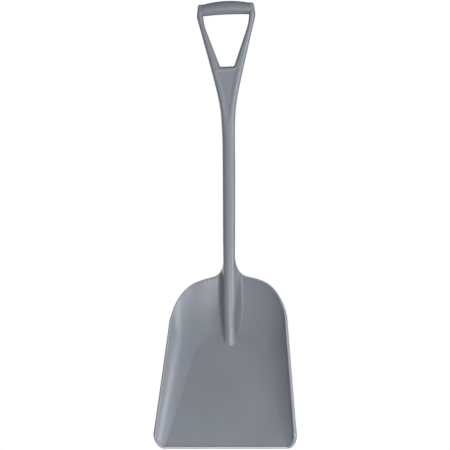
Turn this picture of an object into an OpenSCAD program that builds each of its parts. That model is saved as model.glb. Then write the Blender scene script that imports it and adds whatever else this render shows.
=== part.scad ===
// Grain scoop shovel moulded in one piece: deep round-backed scoop, bent round shaft, D-shaped hand grip.
// Millimetres. Upright: +Z up the lower shaft, -Y the hollow front, X across; origin under the grip bar.

/* [Scoop plan] */
// Half width of the scoop between its front rim corners
corner_half_w = 170.3; // [130:0.5:210]
// How far the front rim corners sit behind the front edge
corner_back = 22; // [0:0.5:60]
// Mean radius of the round shoulders
shoulder_r = 150; // [110:0.5:190]
// How far the shoulders bulge out of that circle, and draw in beside it
swell = 2.4; // [0:0.1:6]
// Distance of the shoulder centre behind the front edge
shoulder_s = 297.5; // [220:1:360]
// Half width of the flat floor at its front edge
floor_half_w = 149; // [110:0.5:180]
// Radius of the round back end of the flat floor
floor_r = 94; // [50:1:120]
// Distance of that floor centre behind the front edge
floor_s = 220; // [120:1:240]
// Radius of the hollow fillet between a shoulder and the shaft
neck_fillet_r = 40; // [15:1:60]

/* [Scoop depth] */
// Thickness of the scoop wall
wall_t = 4.5; // [2.5:0.1:8]
// Rim height above the floor at the front corners
rim_h_front = 28; // [10:0.5:60]
// Rim height above the floor along the shoulders
rim_h_back = 60; // [30:0.5:110]
// How far the rim sinks towards the neck
rim_dip = 5; // [0:0.5:15]
// How late the rim climbs to the shaft along that fillet
neck_rise = 2.2; // [1:0.1:4]
// Slope with which the walls leave the floor at the front
crease_front = 22; // [0:0.5:30]
// Slope with which the walls leave the floor at the back
crease_back = 8; // [0:0.5:20]
// How much steeper than its chord the wall gets at the rim, 1 for a plain arc
wall_curve = 0.86; // [0.5:0.02:1]
// Width of the thickened bead along the rim
rim_w = 4.2; // [4:0.1:14]
// Size of the bevelled front lip against the rim bead
lip_size = 0.85; // [0.4:0.02:1]
// Downward tip of the front lip
lip_tip = 22; // [0:1:35]

/* [Shaft] */
// Angle between the scoop floor and the shaft
lift = 20.5; // [10:0.5:35]
// Distance of the neck point behind the front edge
neck_s = 446; // [400:1:500]
// Height of the neck point over the floor
neck_h = 82; // [50:0.5:120]
// Outside radius of the shaft at the scoop
shaft_r = 15; // [12:0.1:20]
// Outside radius of the shaft at its upper end
shaft_r_top = 16.2; // [12:0.1:22]
// Radius of the hollow inside the shaft
bore_r = 10.5; // [6:0.1:13]
// Length of the straight lower shaft above the neck point
straight_len = 245; // [150:1:350]
// Length along the gentle bend
bend_len = 140; // [60:1:220]
// Total forward bend of the handle
bend_angle = 9.5; // [2:0.1:20]

/* [Spine] */
// Distance behind the front edge where the spine fades into the floor
spine_end_s = 272; // [230:1:320]
// Spine radius where it fades out
spine_end_r = 15.5; // [4:0.1:20]
// Steepness of the flanks of the spine
spine_draft = 71; // [40:1:80]

// Width of the hollow fillet beside the spine
valley = 22; // [4:1:40]

/* [Grip] */
// Length along the handle from neck point to the yoke
yoke_l0 = 330; // [280:1:384]
// Length along the handle to the bottom of the hand opening
open_l = 533; // [480:1:560]
// Half width of the hand opening at its bottom
open_half_w = 18.5; // [10:0.5:30]
// Spread of the inner faces of the arms, per millimetre of length
inner_slope = 0.36; // [0.2:0.01:0.5]
// Half length of the grip bar between the arms
bar_half = 60.5; // [45:0.5:75]
// Half width of the grip at its widest
grip_half_w = 76.6; // [60:0.1:95]
// Length along the handle to the widest place
grip_l = 666; // [620:1:700]
// Spread of the outer faces, per millimetre of length
outer_slope = 0.257; // [0.15:0.001:0.35]
// Half width of the grip across its top corners
corner_w = 73.6; // [55:0.1:95]
// Length along the handle to the top corners
corner_l = 698; // [680:1:720]
// Half depth of the arms
arm_d = 11.5; // [7:0.25:16]
// Half depth of the yoke below the opening
yoke_d = 12.5; // [8:0.25:18]
// Depth of the sunk panel on both faces of the yoke
panel_d = 1.2; // [0.5:0.1:4]
// Half height of the bar in its middle
bar_r = 17.5; // [12:0.1:22]
// How much the bar rises towards its middle
bar_bow = 4.5; // [0:0.1:10]

/* [Hidden] */
n_corner = 6;    // steps round a front corner
n_side = 8;      // steps along a straight side
n_back = 16;     // steps round a shoulder
n_neck = 5;      // steps from the shoulder to the spine
n_cross = 14;    // steps across the cut under the shaft
split_turn = 0.4;             // share of the neck fillet that belongs to the shoulder
floor_corner = 6;             // rounding of the floor's front corners
corner_pow = 1.03;            // 1 makes the rim corner elliptic, more makes it flatter
floor_split = 8;              // half width of the spine at the floor
rho = 9;                      // rounding of the arm edges
turn_r = bend_len * 180 / (PI * bend_angle);
// plan of the rim
c_dist = norm([corner_half_w, corner_back - shoulder_s]);
end_r = shoulder_r - swell;
rim_a0 = atan2(corner_back - shoulder_s, corner_half_w) + acos(end_r / c_dist);
f_dist = norm([floor_half_w, -floor_s]);
floor_a0 = atan2(-floor_s, floor_half_w) + acos(floor_r / f_dist);
neck_cx = shaft_r + neck_fillet_r;
rim_a1 = acos(neck_cx / (end_r + neck_fillet_r));
cut_s = shoulder_s + (end_r + neck_fillet_r) * sin(rim_a1);
cut_h = neck_h + (cut_s - neck_s) * tan(lift);
floor_a1 = acos(floor_split / floor_r);
crest_cut = cut_h + shaft_r / cos(lift);
crest_run = cut_s - spine_end_s;
crest_k = 2 * (crest_cut - tan(lift) * crest_run) / pow(crest_run, 2);
// origin: the middle of the underside of the bar
bar_l = corner_l - 15.2;                  // bar axis at the arms
hang_l = bar_l + bar_bow - bar_r;

function clamp01(t) = max(0, min(1, t));
function ease(t) = let (c = clamp01(t)) c * c * (3 - 2 * c);
function mix(a, b, t) = a + (b - a) * t;
function round_max(a, b, k) = let (q = max(k - abs(a - b), 0) / k) max(a, b) + q * q * k / 4;

// ---- handle line: y, z and tilt at a length along the handle, neck point at 0,0 ----
function tilt(l) = bend_angle * clamp01((l - straight_len) / bend_len);
function line_y(l) = -turn_r * (1 - cos(tilt(l))) - max(l - straight_len - bend_len, 0) * sin(bend_angle);
function line_z(l) = min(l, straight_len) + turn_r * sin(tilt(l))
    + max(l - straight_len - bend_len, 0) * cos(bend_angle);
off_y = -line_y(hang_l);
off_z = -line_z(hang_l);
// point of a cross section: x across, y through, at length l
function on_line(x, y, l) = [x, off_y + line_y(l) + y * cos(tilt(l)), off_z + line_z(l) + y * sin(tilt(l))];
// point off the straight upper handle: x, y, and l measured along it
l_ref = straight_len + bend_len;
function on_head(x, y, l) = [x, off_y + line_y(l_ref) - (l - l_ref) * sin(bend_angle) + y * cos(bend_angle),
    off_z + line_z(l_ref) + (l - l_ref) * cos(bend_angle) + y * sin(bend_angle)];

// ---- scoop: x across, s back from the front edge, h over the floor ----
function on_scoop(p) = [p[0],
    off_y + (p[1] - neck_s) * sin(lift) - (p[2] - neck_h) * cos(lift),
    off_z + (p[1] - neck_s) * cos(lift) + (p[2] - neck_h) * sin(lift)];
module in_scoop() translate(on_scoop([0, 0, 0])) rotate([90 - lift, 0, 0]) children();

// A station is one straight line in plan from the floor to the rim:
// [floor x, floor s, rim x, rim s, rim height, crease, squareness of the edge, bead size, lip share]
floor_t0 = floor_corner / (floor_s + floor_r * sin(floor_a0));
function side_floor(u) = [mix(floor_half_w, floor_r * cos(floor_a0), u),
    mix(0, floor_s + floor_r * sin(floor_a0), u)];
function st_corner(i) = let (f = 90 - 90 * i / n_corner, g = 1 - pow(sin(f), corner_pow),
    b = side_floor(floor_t0), e = ease(i / n_corner))
    [b[0] - floor_corner * (1 - cos(f)), b[1] - floor_corner * sin(f),
     floor_half_w + (corner_half_w - floor_half_w) * pow(cos(f), corner_pow), corner_back * g,
     rim_h_front * g, crease_front, 1, mix(lip_size, 1, e), 1 - e];
function st_side(i) = let (t = i / n_side, b = side_floor(mix(floor_t0, 1, t)))
    [b[0], b[1], mix(corner_half_w, end_r * cos(rim_a0), t),
    mix(corner_back, shoulder_s + end_r * sin(rim_a0), t),
     mix(rim_h_front, rim_h_back, t), mix(crease_front, crease_back + 4, t), 1, 1, 0];
function st_back(i) = let (t = i / n_back, a = mix(rim_a0, rim_a1, t), b = mix(floor_a0, floor_a1 - 8, t),
    r = shoulder_r - swell * cos(360 * pow(t, 1.36)))
    [floor_r * cos(b), floor_s + floor_r * sin(b), r * cos(a), shoulder_s + r * sin(a),
     rim_h_back - rim_dip * ease((t - 0.6) / 0.4), mix(crease_back + 4, crease_back, t), 1 - ease(t), 1, 0];
function st_turn(t, fx) = let (a = mix(rim_a1 + 180, 180, t))
    [fx, floor_s + sqrt(floor_r * floor_r - fx * fx),
     neck_cx + neck_fillet_r * cos(a), cut_s + neck_fillet_r * sin(a),
     mix(rim_h_back - rim_dip, cut_h, pow(t, neck_rise)), crease_back, 0, 1 - 0.85 * ease(t), 0];
function st_neck(i) = let (t = i / n_neck, b = mix(floor_a1 - 8, floor_a1, t))
    st_turn(t * split_turn, floor_r * cos(b));
n_turn = 4;                   // steps from the spine's side to the cut
// stations across the spine, k from 0 (right side) to n_spine (left side)
n_spine = 2 * n_turn + n_cross;
function flip(q) = [-q[0], q[1], -q[2], q[3], q[4], q[5], q[6], q[7], q[8]];
function spine_fx(k) = floor_split * (1 - 2 * k / n_spine);
function st_spine(k) = k <= n_turn ? st_turn(mix(split_turn, 1, k / n_turn), spine_fx(k))
    : k >= n_spine - n_turn ? flip(st_turn(mix(split_turn, 1, (n_spine - k) / n_turn), -spine_fx(k)))
    : let (fx = spine_fx(k), x = shaft_r * cos(180 * (k - n_turn) / n_cross))
      [fx, floor_s + sqrt(floor_r * floor_r - fx * fx), x, cut_s, cut_h, crease_back, 0, 0.15, 0];

// inner face of the wall at a distance d out from the floor: a crease, an arc, then straight to the rim
function st_w(q) = norm([q[2] - q[0], q[3] - q[1]]);
function sec(q) = let (w = st_w(q), chord = atan2(q[4], w), c = min(q[5], chord / 2),
    a = chord + wall_curve * (chord - c)) [c, a, (w * sin(a) - q[4] * cos(a)) / max(1 - cos(a - c), 1e-9)];
function sec_h(q, k, d) = d < k[2] * (sin(k[1]) - sin(k[0]))
    ? k[2] * (cos(k[0]) - cos(sec_a(k, d))) : q[4] - (st_w(q) - d) * tan(k[1]);
function sec_a(k, d) = d < k[2] * (sin(k[1]) - sin(k[0])) ? asin(sin(k[0]) + d / k[2]) : k[1];
// upper line of the spine
function crest(s) = let (q = cut_s - s) crest_cut - tan(lift) * q - crest_k * q * q / 2;
function spine_r(s) = mix(spine_end_r, shaft_r, clamp01((s - spine_end_s) / crest_run));
function flank(s) = min(89, mix(spine_draft, 90, ease((s - cut_s + 36) / 36)));
function ridge(x, s) = let (r = spine_r(s), f = flank(s), e = r * sin(f), u = abs(x))
    u < e ? crest(s) - (r - sqrt(max(r * r - u * u, 0))) / cos(lift)
    : crest(s) - (r - r * cos(f)) / cos(lift) - (u - e) * tan(f) / cos(lift);
function valley_k(s) = max(0.01, valley * pow(clamp01((s - spine_end_s + 4) / 90), 0.6)
    * (1 - ease((s - cut_s + 26) / 26)));
function under(x, s) = let (u = min(abs(x), shaft_r)) neck_h + (s - neck_s) * tan(lift)
    - sqrt(shaft_r * shaft_r - u * u) / cos(lift) + 3 * max(abs(x) - shaft_r, 0);

v_cuts = [0, 0.06, 0.12, 0.18, 0.25, 0.32, 0.4, 0.48, 0.56, 0.64, 0.72, 0.79, 0.85, 0.9, 0.94, 0.97, 1];
n_v = len(v_cuts) - 1;
function st_at(q, d) = let (w = st_w(q)) [q[0] + (q[2] - q[0]) * d / w, q[1] + (q[3] - q[1]) * d / w];
function top_pt(q, v) = let (d = st_w(q) * v, p = st_at(q, d), h = sec_h(q, sec(q), d))
    [p[0], p[1], q[6] > 0.999 ? h : round_max(h, ridge(p[0], p[1]), valley_k(p[1]))];
function low_pt(q, v) = let (d = st_w(q) * v, k = sec(q), a = sec_a(k, d),
    p = st_at(q, d + q[6] * wall_t * sin(a)), h = sec_h(q, k, d) - wall_t * mix(1 / cos(a), cos(a), q[6]))
    [p[0], p[1], q[6] > 0.999 ? h : -round_max(-h, -under(p[0], p[1]), 4)];
function station_ring(q) = concat([for (v = v_cuts) on_scoop(top_pt(q, v))],
    [for (j = [n_v:-1:0]) on_scoop(low_pt(q, v_cuts[j]))]);

// closed body through a list of rings with equal point counts
module loft(rings) {
    n = len(rings[0]);
    m = len(rings);
    pts = [for (r = rings) each r];
    polyhedron(points = pts, faces = concat(
        [for (i = [0:m - 2]) for (j = [0:n - 1]) each
            let (k = (j + 1) % n, u = i * n, w = u + n) [[u + j, u + k, w + j], [u + k, w + k, w + j]]],
        [[for (j = [n - 1:-1:0]) j]],
        [[for (j = [0:n - 1]) (m - 1) * n + j]]));
}

// nose of the spine, running out on the floor in front of the floor's round end
nose_n = 10;
nose_sink = 1.5;
function floor_arc(x) = floor_s + sqrt(floor_r * floor_r - x * x);
function nose_w(s) = let (r = spine_r(s), d = (crest(s) + valley_k(s)) * cos(lift))
    let (de = r * (1 - cos(spine_draft)))
    d < de ? sqrt(r * r - pow(r - d, 2)) : r * sin(spine_draft) + (d - de) / tan(spine_draft);
function nose_h(x, s) = max(round_max(0, ridge(x, s), valley_k(s)), 0.05);
nose_edge = [for (s = [spine_end_s - 2:2:spine_end_s + 46]) [nose_w(s), s]];
nose_cuts = [0, 0.08, 0.22, 0.45, 0.72, 1];
nose_half = nose_w(floor_arc(24)) - 0.3;
function nose_ring(x) = let (b = floor_arc(x) - 0.3, a = min(lookup(abs(x), nose_edge), b - 0.6))
    concat([for (t = nose_cuts) let (y = mix(a, b, t)) on_scoop([x, y, nose_h(x, y)])],
        [on_scoop([x, b, -nose_sink]), on_scoop([x, a, -nose_sink])]);
nose_rings = [for (j = [nose_n:-1:0]) nose_ring(nose_half * cos(180 * j / nose_n))];
side_sts = concat([for (i = [0:n_corner - 1]) st_corner(i)], [for (i = [0:n_side]) st_side(i)]);
side_rings = [for (i = [len(side_sts) - 1:-1:0]) station_ring(side_sts[i])];
shoulder_sts = concat([for (i = [0:n_back]) st_back(i)], [for (i = [1:n_neck]) st_neck(i)]);
shoulder_rings = [for (i = [len(shoulder_sts) - 1:-1:0]) station_ring(shoulder_sts[i])];

// ---- rim bead: leans on the outer end of the wall, and tips down round the corner into the front lip ----
rim_sts = concat([for (i = [0:len(side_sts) - 2]) side_sts[i]], shoulder_sts,
    [for (k = [1:n_turn]) st_spine(k)]);
rim_last = len(rim_sts) - 1;
// outward direction in plan
function rim_n(i) = i == 0 ? [0, -1] : let (a = rim_sts[i - 1], b = rim_sts[min(i + 1, rim_last)],
    e = norm([b[2] - a[2], b[3] - a[3]])) [(b[3] - a[3]) / e, (a[2] - b[2]) / e];
bead = [[0.2, 1], [rim_w - 1.2, 0.85], [rim_w - 0.35, 0.45], [rim_w, -0.4], [rim_w - 0.05, -3.6],
    [rim_w - 0.6, -4.5], [rim_w - 1.6, -4.8]];
function bead_at(p, k, g) = [k * (p[0] * cos(lip_tip * g) + p[1] * sin(lip_tip * g)),
    k * (p[1] * cos(lip_tip * g) - p[0] * sin(lip_tip * g)) - 0.6 * g];
function rim_ring(i) = let (q = rim_sts[i], n = rim_n(i)) concat([on_scoop(top_pt(q, 1))],
    [for (p = bead) let (e = bead_at(p, q[7], q[8]))
        on_scoop([q[2] + n[0] * e[0], q[3] + n[1] * e[0], q[4] + e[1]])],
    [on_scoop(low_pt(q, 1))]);
rim_rings = [for (i = [rim_last:-1:0]) rim_ring(i)];
lip_profile = concat([[0, 0]], [for (p = bead) let (e = bead_at(p, lip_size, 1)) [-e[0], e[1]]],
    [[0, -wall_t]]);

// ---- grip sections ----
function out_w(l) = let (g = grip_half_w - outer_slope * (grip_l - l))
    l < grip_l ? (14.9 + g + sqrt(pow(14.9 - g, 2) + 134.6)) / 2
    : mix(grip_half_w + 0.2, corner_w, ease((l - grip_l) / (corner_l - grip_l)));
function in_w(l) = -round_max(-(open_half_w + inner_slope * (l - open_l)), -bar_half, 8);
function deep(l) = l < open_l ? mix(shaft_r_top, yoke_d, ease((l - yoke_l0) / 150))
    : mix(mix(yoke_d, arm_d, ease((l - open_l) / 60)), 13.8, ease((l - 635) / 35));
function panel(l) = panel_d * ease((l - 378) / 55) * (1 - ease((l - open_l + 14) / 4));
yoke_f = [0, 12, 24, 36, 48, 60, 70, 80, 90];
face_f = [1, 0.93, 0.84, 0.6, 0.3, 0, -0.3, -0.6, -0.84, -0.93, -1];
// half of a yoke section as [x, depth, share of the sunk panel], from the right side over a face to the left
function yoke_half(l) = let (w = out_w(l), d = deep(l), g = ease((l - yoke_l0) / 90), e = w - rho,
    box = concat([for (a = yoke_f) [e + rho * cos(a), d * sin(a), 0]],
        [for (i = [1:len(face_f) - 2]) [e * face_f[i], d, ease((0.93 - abs(face_f[i])) / 0.09)]],
        [for (i = [len(yoke_f) - 1:-1:0]) [-e - rho * cos(yoke_f[i]), d * sin(yoke_f[i]), 0]]))
    [for (i = [0:len(box) - 1]) let (a = 180 * i / (len(box) - 1))
        [mix(out_w(l) * cos(a), box[i][0], g), mix(d * sin(a), box[i][1], g) - panel(l) * box[i][2]]];
function yoke_ring(l) = let (hf = yoke_half(l), m = len(hf))
    concat([for (p = hf) on_line(p[0], -p[1], l)], [for (i = [m - 2:-1:1]) on_line(hf[i][0], hf[i][1], l)]);
yoke_top = open_l + 7;
yoke_ls = concat([for (l = [yoke_l0:9:510]) l], [515, 519, 521, 523, 527, 533, yoke_top]);
// arm section between its inner and outer faces
arm_ls = concat([for (l = [yoke_top:12:630]) l],
    [636, 643, 650, 657, 663, 668, 675, 683, 690, 694.5, 697, corner_l]);
arc_n = 10;
function arm_ring(l) = let (c = pow(clamp01((l - 690) / 8), 3), w = out_w(l) - 2.6 * c, u = in_w(l),
    d = deep(l) - 2 * c, r = min(rho, (w - u) / 2 - 0.01))
    concat([for (i = [0:arc_n]) let (a = -90 + 180 * i / arc_n) on_head(w - r + r * cos(a), d * sin(a), l)],
        [for (i = [0:arc_n]) let (a = 90 + 180 * i / arc_n) on_head(u + r + r * cos(a), d * sin(a), l)]);
// bar section at x
function bar_ring(x) = let (q = 1 - pow(min(abs(x), bar_half) / bar_half, 2), c = bar_l + bar_bow * q,
    hh = mix(15.2, bar_r, q), dd = mix(14.2, 16, q), e = 1 - 0.09 * pow(max(abs(x) - bar_half, 0) / 9, 2))
    [for (i = [0:31]) let (a = 360 * i / 32) on_head(x, dd * e * cos(a), c + hh * e * sin(a))];
bar_xs = [for (i = [0:20]) bar_half * cos(180 * i / 20)];
// cutter for the bottom of the hand opening, edges rounded like the arms
corner_r = 5;
side_a = atan(inner_slope);
open_cx = open_half_w + inner_slope * corner_r - corner_r / cos(side_a);
function open_half(e) = concat(
    [for (i = [0:6]) let (a = -90 + (90 - side_a) * i / 6, r = corner_r + e)
        [open_cx + r * cos(a), open_l + corner_r + r * sin(a)]],
    [[open_half_w + inner_slope * 40 + e / cos(side_a), open_l + 40]]);
function open_ring(y, e) = let (hf = open_half(e)) concat([for (p = hf) on_head(p[0], y, p[1])],
    [for (i = [len(hf) - 1:-1:0]) on_head(-hf[i][0], y, hf[i][1])]);
open_as = [-78, -66, -54, -40, -25, -10, 10, 25, 40, 54, 66, 78];
open_rings = concat([open_ring(-yoke_d - 2, rho + 4)],
    [for (a = open_as) open_ring(yoke_d * sin(a), rho * (1 - cos(a)))], [open_ring(yoke_d + 2, rho + 4)]);

scoop_c = [0.5, 0.5, 0.53];
handle_c = [0.56, 0.56, 0.59];

module blade_floor() color(scoop_c) {
    in_scoop() translate([0, 0, -wall_t]) linear_extrude(wall_t) polygon(concat(
    [for (q = side_sts) [q[0], q[1]]],
    [for (i = [1:len(shoulder_sts) - 1]) [shoulder_sts[i][0], shoulder_sts[i][1]]],
    [for (k = [1:n_spine - 1]) [st_spine(k)[0], st_spine(k)[1]]],
    [for (i = [len(shoulder_sts) - 1:-1:1]) [-shoulder_sts[i][0], shoulder_sts[i][1]]],
    [for (i = [len(side_sts) - 1:-1:0]) [-side_sts[i][0], side_sts[i][1]]]));
    loft(nose_rings);
}

module side_wall_right() color(scoop_c) loft(side_rings);
module side_wall_left() mirror([1, 0, 0]) side_wall_right();
module shoulder_right() color(scoop_c) loft(shoulder_rings);
module shoulder_left() mirror([1, 0, 0]) shoulder_right();
module spine() color(scoop_c) loft([for (k = [n_spine:-1:0]) station_ring(st_spine(k))]);
module rim_right() color(handle_c) loft(rim_rings);
module rim_left() mirror([1, 0, 0]) rim_right();
module front_lip() color(handle_c) in_scoop() translate([-floor_half_w, 0, 0])
    rotate([90, 0, 90]) linear_extrude(2 * floor_half_w) polygon(lip_profile);

module shaft_run(r0, r1) {
    translate([0, off_y, off_z]) {
        translate([0, 0, -20]) cylinder(h = 20, r = r0, $fn = 96);
        cylinder(h = straight_len, r1 = r0, r2 = r1, $fn = 96);
        translate([0, -turn_r, straight_len]) rotate([0, 90, 0]) rotate([0, 0, 90])
            rotate_extrude(angle = tilt(yoke_l0), $fn = 96) translate([turn_r, 0]) circle(r = r1, $fn = 96);
    }
}
module shaft() color(handle_c) difference() {
    shaft_run(shaft_r, shaft_r_top);
    shaft_run(bore_r, bore_r);
    in_scoop() translate([-60, cut_s - 120, -60]) cube([120, 120, 260]);
}
module yoke() color(handle_c) difference() {
    loft([for (l = yoke_ls) yoke_ring(l)]);
    loft(open_rings);
}
module grip_arm_right() color(handle_c) {
    loft([for (i = [len(arm_ls) - 1:-1:0]) arm_ring(arm_ls[i])]);
    loft([for (x = [bar_half + 9, bar_half + 6, bar_half + 3, bar_half]) bar_ring(x)]);
}
module grip_arm_left() mirror([1, 0, 0]) grip_arm_right();
module grip_bar() color(handle_c) loft([for (x = bar_xs) bar_ring(x)]);

blade_floor();
side_wall_left();
side_wall_right();
shoulder_left();
shoulder_right();
spine();
rim_left();
rim_right();
front_lip();
shaft();
yoke();
grip_arm_left();
grip_arm_right();
grip_bar();
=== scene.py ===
"""Visual model of a one-piece moulded grain scoop shovel, hanging by its grip.

Lengths inside the classes are millimetres, in the maker's own frames:
the pan is described by (x, s, h) - across, back from the front edge, above the floor -
and the handle by (x, y, l) - across, through, and along the bent centre line.
Meshes are written in metres, in the row frame.
"""
from __future__ import annotations

import logging
import math
from dataclasses import dataclass, replace
from enum import Enum
from typing import Sequence

import bmesh
import bpy
from mathutils import Matrix, Quaternion, Vector

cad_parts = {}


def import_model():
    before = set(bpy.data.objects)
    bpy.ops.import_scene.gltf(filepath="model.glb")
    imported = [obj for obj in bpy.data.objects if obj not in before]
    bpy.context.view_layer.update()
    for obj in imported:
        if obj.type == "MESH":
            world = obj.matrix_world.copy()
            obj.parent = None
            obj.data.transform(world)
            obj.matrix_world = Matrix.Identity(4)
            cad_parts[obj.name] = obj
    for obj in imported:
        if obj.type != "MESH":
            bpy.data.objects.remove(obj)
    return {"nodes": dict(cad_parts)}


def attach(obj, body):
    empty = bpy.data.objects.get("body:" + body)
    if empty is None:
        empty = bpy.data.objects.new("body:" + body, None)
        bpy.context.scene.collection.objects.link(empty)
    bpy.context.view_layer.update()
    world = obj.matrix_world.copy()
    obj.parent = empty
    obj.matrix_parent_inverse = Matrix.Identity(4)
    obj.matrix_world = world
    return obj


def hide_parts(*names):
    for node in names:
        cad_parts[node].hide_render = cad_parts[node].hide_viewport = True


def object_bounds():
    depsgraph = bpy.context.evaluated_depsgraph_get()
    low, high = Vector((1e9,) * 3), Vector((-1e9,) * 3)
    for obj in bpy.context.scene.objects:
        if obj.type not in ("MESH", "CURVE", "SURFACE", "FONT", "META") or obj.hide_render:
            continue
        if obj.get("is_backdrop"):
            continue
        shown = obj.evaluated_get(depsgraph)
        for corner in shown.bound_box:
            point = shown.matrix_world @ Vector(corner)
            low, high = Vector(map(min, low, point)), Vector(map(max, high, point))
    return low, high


LOG = logging.getLogger("scoop_shovel")
MM = 0.001
WELD = 0.00001
SWEEP_CREASE = 50.0
BODY = "root"
Point = tuple[float, float, float]
Pair = tuple[float, float]


# ------ small helpers


def clamp01(t: float) -> float:
    """Limit a number to 0..1."""
    return max(0.0, min(1.0, t))


def ease(t: float) -> float:
    """Smooth step from 0 to 1."""
    c = clamp01(t)
    return c * c * (3 - 2 * c)


def mix(a: float, b: float, t: float) -> float:
    """Blend two numbers."""
    return a + (b - a) * t


def round_max(a: float, b: float, k: float) -> float:
    """The larger of two heights, with a fillet of width k where they cross."""
    q = max(k - abs(a - b), 0.0) / k
    return max(a, b) + q * q * k / 4


def quarter_round(distance: float, radius: float) -> float:
    """Share of the full depth at a distance inside a rounded edge."""
    inside = clamp01(distance / radius)
    return math.sqrt(max(0.0, 1 - (1 - inside) ** 2))


def cosine_steps(count: int) -> list[float]:
    """Numbers from 0 to 1, crowded at both ends."""
    return [(1 - math.cos(math.pi * i / count)) / 2 for i in range(count + 1)]


def even_steps(count: int) -> list[float]:
    """Numbers from 0 to 1, evenly spaced."""
    return [i / count for i in range(count + 1)]


def circle_angles(count: int) -> list[float]:
    """Angles of a circle's points in radians."""
    return [math.tau * i / count for i in range(count)]


def preset(node: bpy.types.Node, **values: object) -> bpy.types.Node:
    """Set a node's inputs by name, with _ for a blank, and return the node."""
    for name, value in values.items():
        node.inputs[name.replace("_", " ")].default_value = value
    return node


# ------ finishes


class Grain(Enum):
    """How the mould surface was finished: height of its texture in metres, and features per metre."""

    POLISHED = (0.00002, 900.0)
    SATIN = (0.00005, 1100.0)
    TEXTURED = (0.00011, 750.0)


@dataclass(frozen=True)
class MouldedPlastic:
    """A polypropylene finish: colour, gloss and mould texture.

    Args:
        name: material name.
        colour: linear RGB of the plastic.
        roughness: mean roughness.
        grain: mould texture.
        mottle: share by which the colour wanders in the melt.
    """

    name: str
    colour: Point
    roughness: float
    grain: Grain = Grain.SATIN
    mottle: float = 0.05

    def material(self) -> bpy.types.Material:
        """Build the node material, or return it if it is there already.

        Returns:
            The material.
        """
        done = bpy.data.materials.get(self.name)
        if done:
            return done
        mat = bpy.data.materials.new(self.name)
        mat.use_nodes = True
        mat.diffuse_color = (*self.colour, 1.0)
        tree = mat.node_tree
        shader = preset(tree.nodes["Principled BSDF"], IOR=1.49)
        place = tree.nodes.new("ShaderNodeTexCoord").outputs["Object"]
        self._dress_colour(tree, place, shader)
        self._dress_roughness(tree, place, shader)
        self._dress_bump(tree, place, shader)
        return mat

    def _noise(self, tree: bpy.types.NodeTree, place: bpy.types.NodeSocket, scale: float,
               detail: float, stretch: Point = (1.0, 1.0, 1.0)) -> bpy.types.NodeSocket:
        """A noise in object space; returns its value socket."""
        mapping = preset(tree.nodes.new("ShaderNodeMapping"), Scale=stretch)
        tree.links.new(place, mapping.inputs["Vector"])
        noise = preset(tree.nodes.new("ShaderNodeTexNoise"), Scale=scale, Detail=detail)
        tree.links.new(mapping.outputs["Vector"], noise.inputs["Vector"])
        return noise.outputs["Fac"]

    def _dress_colour(self, tree: bpy.types.NodeTree, place: bpy.types.NodeSocket,
                      shader: bpy.types.Node) -> None:
        """Slow cloudiness of the pigment in the melt, drawn out along the flow."""
        ramp = tree.nodes.new("ShaderNodeValToRGB")
        low = tuple(c * (1 - self.mottle) for c in self.colour)
        high = tuple(c * (1 + self.mottle) for c in self.colour)
        ramp.color_ramp.elements[0].position = 0.3
        ramp.color_ramp.elements[1].position = 0.7
        ramp.color_ramp.elements[0].color = (*low, 1)
        ramp.color_ramp.elements[1].color = (*high, 1)
        tree.links.new(self._noise(tree, place, 11.0, 4.0, (1.0, 1.0, 0.45)), ramp.inputs["Fac"])
        tree.links.new(ramp.outputs["Color"], shader.inputs["Base Color"])

    def _dress_roughness(self, tree: bpy.types.NodeTree, place: bpy.types.NodeSocket,
                         shader: bpy.types.Node) -> None:
        """Gloss that wanders a little, as on a mould polished by hand."""
        span = preset(tree.nodes.new("ShaderNodeMapRange"), From_Min=0.3, From_Max=0.7,
                      To_Min=self.roughness - 0.035, To_Max=self.roughness + 0.045)
        tree.links.new(self._noise(tree, place, 38.0, 5.0), span.inputs["Value"])
        tree.links.new(span.outputs["Result"], shader.inputs["Roughness"])

    def _dress_bump(self, tree: bpy.types.NodeTree, place: bpy.types.NodeSocket,
                    shader: bpy.types.Node) -> None:
        """Mould texture, and under it the faint waviness of shrinking plastic."""
        wave = preset(tree.nodes.new("ShaderNodeBump"), Strength=0.25, Distance=0.0006)
        tree.links.new(self._noise(tree, place, 22.0, 1.0, (1.0, 1.0, 0.5)), wave.inputs["Height"])
        height, density = self.grain.value
        fine = preset(tree.nodes.new("ShaderNodeBump"), Strength=0.35, Distance=height)
        tree.links.new(self._noise(tree, place, density, 3.0), fine.inputs["Height"])
        tree.links.new(wave.outputs["Normal"], fine.inputs["Normal"])
        tree.links.new(fine.outputs["Normal"], shader.inputs["Normal"])


PAN_FINISH = MouldedPlastic("pan_polypropylene", (0.186, 0.195, 0.221), 0.35, Grain.SATIN)
HANDLE_FINISH = MouldedPlastic("handle_polypropylene", (0.186, 0.195, 0.221), 0.35, Grain.SATIN)
# Painted shade: the grip bar's plastic is painted darker than the rest of the one-piece moulding to stand in
# for the shade on the bar.
GRIP_SHADED_FINISH = MouldedPlastic("grip_painted_shade_polypropylene", (0.168, 0.177, 0.199), 0.38, Grain.TEXTURED)
# Painted highlight: the rim beads' plastic is painted lighter than the pan to stand in for the light along
# their lit tops.
BEAD_HIGHLIGHT_FINISH = MouldedPlastic("bead_painted_highlight_polypropylene", (0.260, 0.268, 0.300), 0.30, Grain.POLISHED)
# Painted highlight: the front lip's plastic is painted far lighter than the pan to stand in for the light its
# bevel catches from below and in front.
LIP_HIGHLIGHT_FINISH = MouldedPlastic("lip_painted_highlight_polypropylene", (0.400, 0.405, 0.430), 0.36, Grain.POLISHED)


# ------ making pieces


def place_object(name: str, data: bpy.types.ID) -> bpy.types.Object:
    """Make an object of the data and link it to the scene."""
    obj = bpy.data.objects.new(name, data)
    bpy.context.scene.collection.objects.link(obj)
    return obj


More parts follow.
